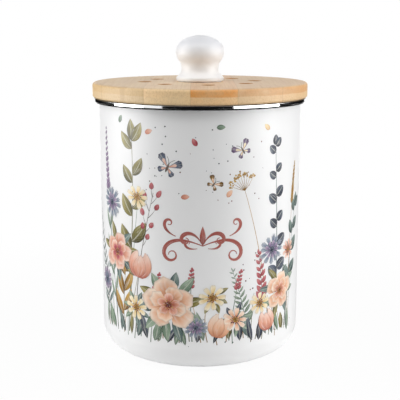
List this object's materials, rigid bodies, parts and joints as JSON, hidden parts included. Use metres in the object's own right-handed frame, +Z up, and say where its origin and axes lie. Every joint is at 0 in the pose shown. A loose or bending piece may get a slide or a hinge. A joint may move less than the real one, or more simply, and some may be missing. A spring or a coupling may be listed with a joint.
{
  "type": "compost caddy",
  "caption": "Round enamelled canister with a steel rim, a lift-off bamboo lid with a ceramic knob, vents and a charcoal filter, and a removable inner bucket.",
  "frame": {"origin": "middle of the canister's base, on the surface that it stands on", "axes": "+Z up along the canister's axis, -Y towards the front"},
  "size_m": [0.1704, 0.1704, 0.2511],
  "materials": {
    "enamel": "glossy white enamel",
    "polished_steel": "mirror-polished stainless steel",
    "bamboo": "oiled laminated bamboo",
    "bamboo_ring": "sanded laminated bamboo",
    "silicone": "translucent white silicone",
    "glaze": "glossy white glaze",
    "brass": "turned brass",
    "zinc_steel": "zinc-plated steel",
    "white_plastic": "fine-grained moulded plastic",
    "charcoal_felt": "charcoal-filled needle felt",
    "liner_plastic": "satin moulded plastic"
  },
  "bodies": {
    "canister": {"canister_shell": "enamel", "rim_trim": "polished_steel"},
    "liner": {"liner_bucket": "liner_plastic"},
    "lid": {"lid_board": "bamboo", "lid_plug_ring": "bamboo_ring", "seal_ring": "silicone", "knob": "glaze", "knob_insert": "brass", "knob_gasket": "silicone", "knob_screw": "zinc_steel", "knob_washer": "zinc_steel", "filter_housing": "white_plastic", "housing_screws": "zinc_steel", "charcoal_filter": "charcoal_felt"},
    "cover": {"filter_cover": "white_plastic"}
  },
  "joints": [
    {"name": "liner_lift", "type": "slide", "parent": "canister", "child": "liner", "axis": [0, 0, 1], "range_m": [0, 0.215]},
    {"name": "lid_lift", "type": "slide", "parent": "liner", "child": "lid", "axis": [0, 0, 1], "range_m": [0, 0.15]},
    {"name": "cover_twist", "type": "hinge", "parent": "lid", "child": "cover", "pos_m": [0, 0, 0.1833], "axis": [0, 0, -1], "range_deg": [0, 40]}
  ]
}
